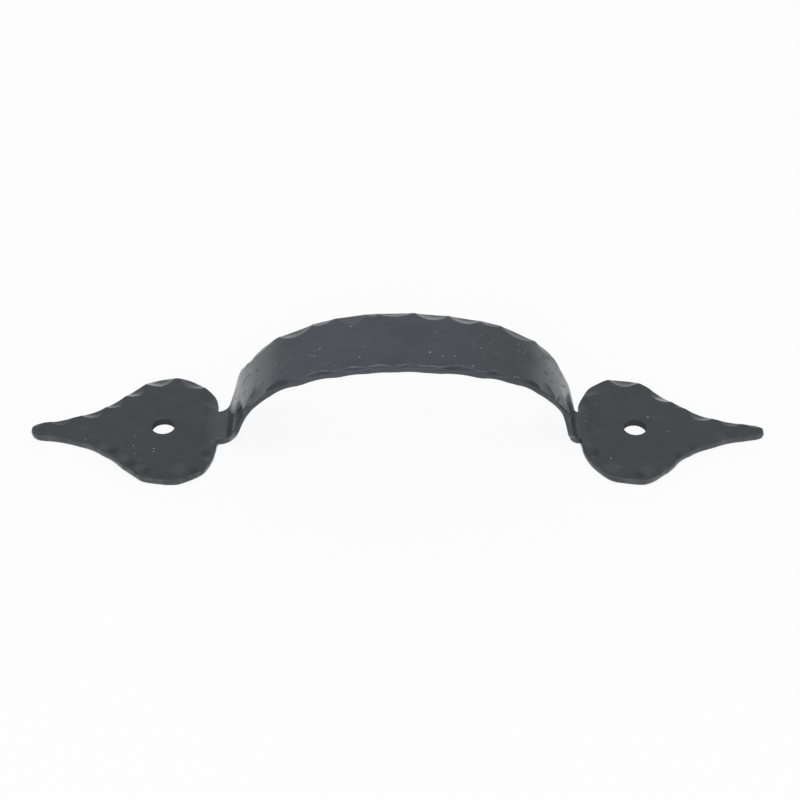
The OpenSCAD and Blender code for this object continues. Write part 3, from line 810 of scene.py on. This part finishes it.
# Patterns in the paint, laid out on the flat blank: size of their features in millimetres, detail, stretch
PATTERNS = {
    "clouds": (9, 3.0, (1, 1, 1)),
    "handling": (4, 3.0, (1, 1, 1)),
    "wear_and_highlight": (2.2, 1.0, (1, 1, 1)),
    "specks_and_glints": (0.45, 1.0, (1, 1, 1)),
    "scratches": (1.1, 1.0, (0.25, 1, 1)),
    "scuffs_and_highlights": (1.3, 3.0, (0.3, 1, 1)),
    "dimples": (2.2, 2.0, (1, 1, 1)),
    "grain": (0.35, 2.0, (1, 1, 1)),
}
# Angle in degrees by which each pattern is turned from the one before
PATTERN_TURN = 11

# Layers that follow a pattern: range of the pattern over which they rise, and the most that shows of them
LAYERS = {
    "clouds": (0.4, 0.65, 0.3),
    # The wear layer also paints a highlight on the rubbed ridges and worn near walls
    "wear_and_highlight": (0.3, 0.6, 0.35),
    # Specks on the hammered corners are partly pale specks and partly painted glints
    "specks_and_glints": (0.5, 0.65, 0.08),
    "scratches": (0.64, 0.72, 0.05),
    # Scuffs on the legs are partly wear and partly painted highlight streaks
    "scuffs_and_highlights": (0.52, 0.66, 0.38),
}

# Stretches of the strip with a finish of their own: distance of their middle from the crown, how far from
# there they are gone and whole, and the most that shows of them. The strap is one stretch, with its middle a
# little left of the crown, and each leg and foot bend has its own
STRETCHES = {
    "strap": (-7, 38, 6, 1.0),
    "leg": (42, 6, 2, 1.0),
    # The foot bends are duller, and lighter in colour as painted light against the shade that falls in them
    "bend": (54, 6, 1, 0.22),
}

# How much shows of bare chips, grit and scrapes
CHIP_SHARE = 0.85
GRIT_SHARE = 0.7
SCRAPE_SHARE = 0.08

# Range of the handling pattern, the paint's roughness at both ends of it, what hammered corners add to that,
# and the roughness of bare places
HANDLED = (0.3, 0.7)
GLOSS = (0.2, 0.28)
CORNER_DULLS = 0.25
BARE_ROUGHNESS = 0.8
# Height of the fine relief in the paint
RELIEF = 0.008


def paint_patterns(tree, blank):
    """The patterns in the paint by name, each at its own size, turn and seed."""
    pattern = {}
    for seed, (name, (size, detail, stretch)) in enumerate(PATTERNS.items()):
        laid = add_node(tree, "ShaderNodeMapping", {
            "Vector": blank, "Rotation": (0, 0, math.radians(PATTERN_TURN * seed)), "Scale": stretch,
        })[0]
        pattern[name] = add_node(tree, "ShaderNodeTexNoise", {
            "Vector": laid, "W": float(seed), "Scale": 1 / (size * MM), "Detail": detail,
        }, noise_dimensions="4D")[0]
    return pattern


def layer_shares(tree, blank, pattern):
    """How much of each layer shows, by name, from its pattern or from its stretch of the strip."""
    along = add_node(tree, "ShaderNodeSeparateXYZ", {0: blank})[0]
    from_crown = add_node(tree, "ShaderNodeMath", {0: along}, operation="ABSOLUTE")[0]
    ranges = [(name, pattern[name], *LAYERS[name]) for name in LAYERS]
    for name, start in (("strap", along), ("leg", from_crown), ("bend", from_crown)):
        middle, gone, whole, most = STRETCHES[name]
        off = add_node(tree, "ShaderNodeMath", {0: start, 1: middle * MM}, operation="SUBTRACT")[0]
        away = add_node(tree, "ShaderNodeMath", {0: off}, operation="ABSOLUTE")[0]
        ranges.append((name, away, gone * MM, whole * MM, most))
    return {
        name: add_node(tree, "ShaderNodeMapRange", {
            "Value": value, "From Min": low, "From Max": high, "To Max": most,
        }, interpolation_type="SMOOTHSTEP")[0]
        for name, value, low, high, most in ranges
    }


def painted_light_patches(tree, blank):
    """Share and tone of each soft patch of painted light and shade, whole in its core and faded out at its
    radius.
    """
    patches = []
    for side, from_crown, aside, radius, tone in PAINTED_LIGHT_PATCHES:
        middle = (SIGN[side] * from_crown * MM, aside * MM, GAUGE * MM)
        away = add_node(tree, "ShaderNodeVectorMath", {0: blank, 1: middle}, operation="DISTANCE")["Value"]
        rim, core = radius * MM, PATCH_CORE * radius * MM
        share = add_node(tree, "ShaderNodeMapRange", {
            "Value": away, "From Min": rim, "From Max": core, "To Max": PATCH_SHARE,
        }, interpolation_type="SMOOTHSTEP")[0]
        patches.append((share, tone))
    return patches


def satin_black_steel():
    """Flat steel, hammered at the forge and baked with a thin satin black paint: dark and even, with a soft
    reflection that grows at a glancing angle, faint cool and warm clouds, a little wear and a painted
    highlight on its ridges, and patches of painted shade and highlight."""
    material = bpy.data.materials.new("satin black paint on hammered steel")
    material.use_nodes = True
    tree = material.node_tree
    tree.nodes.clear()
    blank = add_node(tree, "ShaderNodeAttribute", attribute_name="blank")["Vector"]
    corner, ridge, chips, nibs, scrapes, bore = (
        add_node(tree, "ShaderNodeAttribute", attribute_name=name)["Fac"]
        for name in ("corner", "ridge", "chips", "nibs", "scrapes", "bore")
    )
    pattern = paint_patterns(tree, blank)
    shares = layer_shares(tree, blank, pattern)
    rubbed_and_highlighted, scuffed_and_lit, specked_and_glinting, chipped, grit, scraped = (
        add_node(tree, "ShaderNodeMath", {0: value, 1: share}, operation="MULTIPLY")[0]
        for value, share in (
            (shares["wear_and_highlight"], ridge), (shares["scuffs_and_highlights"], shares["leg"]), (shares["specks_and_glints"], corner),
            (chips, CHIP_SHARE), (nibs, GRIT_SHARE), (scrapes, SCRAPE_SHARE),
        )
    )

    # Layers of the finish, from the leaves' coat up: the strap's cooler coat, the duller coat in the foot
    # bends, lightened there as painted light against the shade in them, warm clouds, soft patches of painted
    # light and shade, scuffs on the legs that are partly painted highlight streaks, rubbed ridges that also
    # carry a painted highlight, specks on the hammered corners that are partly painted glints, faint
    # scratches, bare chips and bores, grit and scrapes
    paint = linear("#31353a")
    for share, colour in (
        (shares["strap"], "#3a404a"), (shares["bend"], "#5c6167"), (shares["clouds"], "#342f39"),
        *painted_light_patches(tree, blank), (scuffed_and_lit, "#8d9296"), (rubbed_and_highlighted, "#a8acb1"), (specked_and_glinting, "#9aa0a8"),
        (shares["scratches"], "#7d848c"), (chipped, "#101011"), (bore, "#333336"), (grit, "#c8ccd2"),
        (scraped, "#c8ccd2"),
    ):
        paint = add_node(tree, "ShaderNodeMix", {
            0: share, 6: paint, 7: linear(colour),
        }, data_type="RGBA")[2]

    gloss = add_node(tree, "ShaderNodeMapRange", {
        "Value": pattern["handling"],
        "From Min": HANDLED[0], "From Max": HANDLED[1], "To Min": GLOSS[0], "To Max": GLOSS[1],
    })[0]
    dull = add_node(tree, "ShaderNodeMath", {
        0: corner, 1: CORNER_DULLS, 2: shares["bend"],
    }, operation="MULTIPLY_ADD")[0]
    duller = add_node(tree, "ShaderNodeMath", {0: gloss, 1: dull}, operation="ADD")[0]
    unpainted = add_node(tree, "ShaderNodeMath", {0: chips, 1: bore}, operation="MAXIMUM")[0]
    bare = add_node(tree, "ShaderNodeMath", {0: unpainted, 1: BARE_ROUGHNESS}, operation="MULTIPLY")[0]
    rough = add_node(tree, "ShaderNodeMath", {0: duller, 1: bare}, operation="MAXIMUM")[0]

    # Dimples stand twice as high as the grain
    relief = add_node(tree, "ShaderNodeMath", {
        0: pattern["dimples"], 1: 2.0, 2: pattern["grain"],
    }, operation="MULTIPLY_ADD")[0]
    bump = add_node(tree, "ShaderNodeBump", {"Height": relief, "Distance": RELIEF * MM, "Strength": 1.0})[0]
    shader = add_node(tree, "ShaderNodeBsdfPrincipled", {
        "Base Color": paint, "Roughness": rough, "IOR": 1.5, "Normal": bump,
    })[0]
    add_node(tree, "ShaderNodeOutputMaterial", {"Surface": shader})
    return material


def seen_ray(tree):
    """1 for a ray that shows the background: straight to the camera, in gloss or through something clear."""
    rays = add_node(tree, "ShaderNodeLightPath")
    either = add_node(tree, "ShaderNodeMath", {
        0: rays["Is Camera Ray"], 1: rays["Is Glossy Ray"],
    }, operation="MAXIMUM")[0]
    return add_node(tree, "ShaderNodeMath", {
        0: either, 1: rays["Is Transmission Ray"],
    }, operation="MAXIMUM")[0]


# Floor: its width in metres, how far it lies below the pull's back, and the share of its own light and shadow
FLOOR_W = 4
FLOOR_DROP = 0.02
SHADOW_SHARE = 0.1


def white_floor():
    """Matt white card, mostly shown as plain white, with a share of its own light and shadow left in."""
    mesh = bpy.data.meshes.new("white_card_floor")
    half = FLOOR_W / 2
    corners = ((-half, -half), (half, -half), (half, half), (-half, half))
    mesh.from_pydata([(x, y, -FLOOR_DROP * MM) for x, y in corners], [], [(0, 1, 2, 3)])
    floor = bpy.data.objects.new("white_card_floor", mesh)
    bpy.context.scene.collection.objects.link(floor)
    material = bpy.data.materials.new("matt white card")
    material.use_nodes = True
    tree = material.node_tree
    tree.nodes.clear()
    card = add_node(tree, "ShaderNodeBsdfDiffuse", {"Color": linear("#f4f4f4")})[0]
    plain = add_node(tree, "ShaderNodeEmission", {"Color": (1, 1, 1, 1), "Strength": 1.0})[0]
    share = add_node(tree, "ShaderNodeMath", {
        0: seen_ray(tree), 1: 1 - SHADOW_SHARE,
    }, operation="MULTIPLY")[0]
    shown = add_node(tree, "ShaderNodeMixShader", {0: share, 1: card, 2: plain})[0]
    add_node(tree, "ShaderNodeOutputMaterial", {"Surface": shown})
    mesh.materials.append(material)
    return floor


# Cloth of the tent: range of the direction's height, or of its lean to a side, and the brightness or the
# shade at both ends of that range
TENT_WALLS = (0.12, 0.57, 1.0, 0.57)
TENT_ROOF = (0.65, 0.95, 0.5, 0.85)
TENT_ENDS = (0.3, 0.62, 0.0, 0.36)
TENT_ENDS_FROM = (0.12, 0.24, 0.0, 1.0)
# Plain even light that falls on things in the tent
AMBIENT = 0.75


def white_tent():
    """A white tent: plain white low down, dimmer half way up and most so at its ends, lighter again under its
    roof. What falls on things from it is a plain even light."""
    world = bpy.data.worlds.new("white_tent")
    world.use_nodes = True
    tree = world.node_tree
    tree.nodes.clear()
    direction = add_node(tree, "ShaderNodeTexCoord")["Generated"]
    aside, _, height = add_node(tree, "ShaderNodeSeparateXYZ", {0: direction})
    lean = add_node(tree, "ShaderNodeMath", {0: aside}, operation="ABSOLUTE")[0]
    walls, roof, ends, raised = (
        add_node(tree, "ShaderNodeMapRange", {
            "Value": value, "From Min": low, "From Max": high, "To Min": at_low, "To Max": at_high,
        })[0]
        for value, (low, high, at_low, at_high) in (
            (height, TENT_WALLS), (height, TENT_ROOF), (lean, TENT_ENDS), (height, TENT_ENDS_FROM),
        )
    )
    middle = add_node(tree, "ShaderNodeMath", {0: walls, 1: roof}, operation="MAXIMUM")[0]
    shade = add_node(tree, "ShaderNodeMath", {0: ends, 1: raised}, operation="MULTIPLY")[0]
    share = add_node(tree, "ShaderNodeMath", {0: 1.0, 1: shade}, operation="SUBTRACT")[0]
    cloth = add_node(tree, "ShaderNodeMath", {0: middle, 1: share}, operation="MULTIPLY")[0]
    strength = add_node(tree, "ShaderNodeMix", {
        0: seen_ray(tree), 2: AMBIENT, 3: cloth,
    }, data_type="FLOAT")[0]
    light = add_node(tree, "ShaderNodeBackground", {"Color": (1, 1, 1, 1), "Strength": strength})[0]
    add_node(tree, "ShaderNodeOutputWorld", {"Surface": light})
    bpy.context.scene.world = world


# Soft lamps: place and size in metres, power in watts
SOFTBOXES = (
    ("front_softbox", (-0.1, -1.1, 0.7), (1.6, 1.2), 6),
    ("low_back_softbox", (0, 1.3, 0.3), (0.9, 0.35), 2.5),
)


def softbox(name, place, size, power):
    """A soft lamp that points at the pull."""
    lamp = bpy.data.lights.new(name, "AREA")
    lamp.shape = "RECTANGLE"
    lamp.size, lamp.size_y = size
    lamp.energy = power
    holder = bpy.data.objects.new(name, lamp)
    holder.location = place
    holder.rotation_euler = (-Vector(place)).to_track_quat("-Z", "Y").to_euler()
    bpy.context.scene.collection.objects.link(holder)


# Camera, read from the photograph's outline: angles in degrees, places in millimetres
CAMERA_ELEVATION = 39.74
CAMERA_TURN = -0.09
CAMERA_ROLL = 0.08
CAMERA_TARGET = (0.2, 0, 10.3)
CAMERA_DISTANCE = 479.2
LENS = 90
SENSOR = 36


def camera():
    """A long lens, level with the photograph's view."""
    elevation, turn, roll = (math.radians(angle) for angle in (CAMERA_ELEVATION, CAMERA_TURN, CAMERA_ROLL))
    level = math.cos(elevation)
    forward = Vector((math.sin(turn) * level, math.cos(turn) * level, -math.sin(elevation)))
    side = Vector((math.cos(turn), -math.sin(turn), 0))
    up = side.cross(forward)
    right = math.cos(roll) * side + math.sin(roll) * up
    upright = math.cos(roll) * up - math.sin(roll) * side
    data = bpy.data.cameras.new("camera")
    data.lens = LENS
    data.sensor_width = SENSOR
    data.clip_start = 0.01
    view = bpy.data.objects.new("camera", data)
    axes = Matrix((right, upright, -forward)).transposed().to_4x4()
    view.matrix_world = Matrix.Translation((Vector(CAMERA_TARGET) - forward * CAMERA_DISTANCE) * MM) @ axes
    bpy.context.scene.collection.objects.link(view)
    bpy.context.scene.camera = view


pull = forged("hammered_pull", blank_mesh(), bend_path(), satin_black_steel())
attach(pull, "root")
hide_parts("pull")

white_floor()
white_tent()
for lamp in SOFTBOXES:
    softbox(*lamp)
camera()
bpy.context.scene.view_settings.view_transform = "Standard"
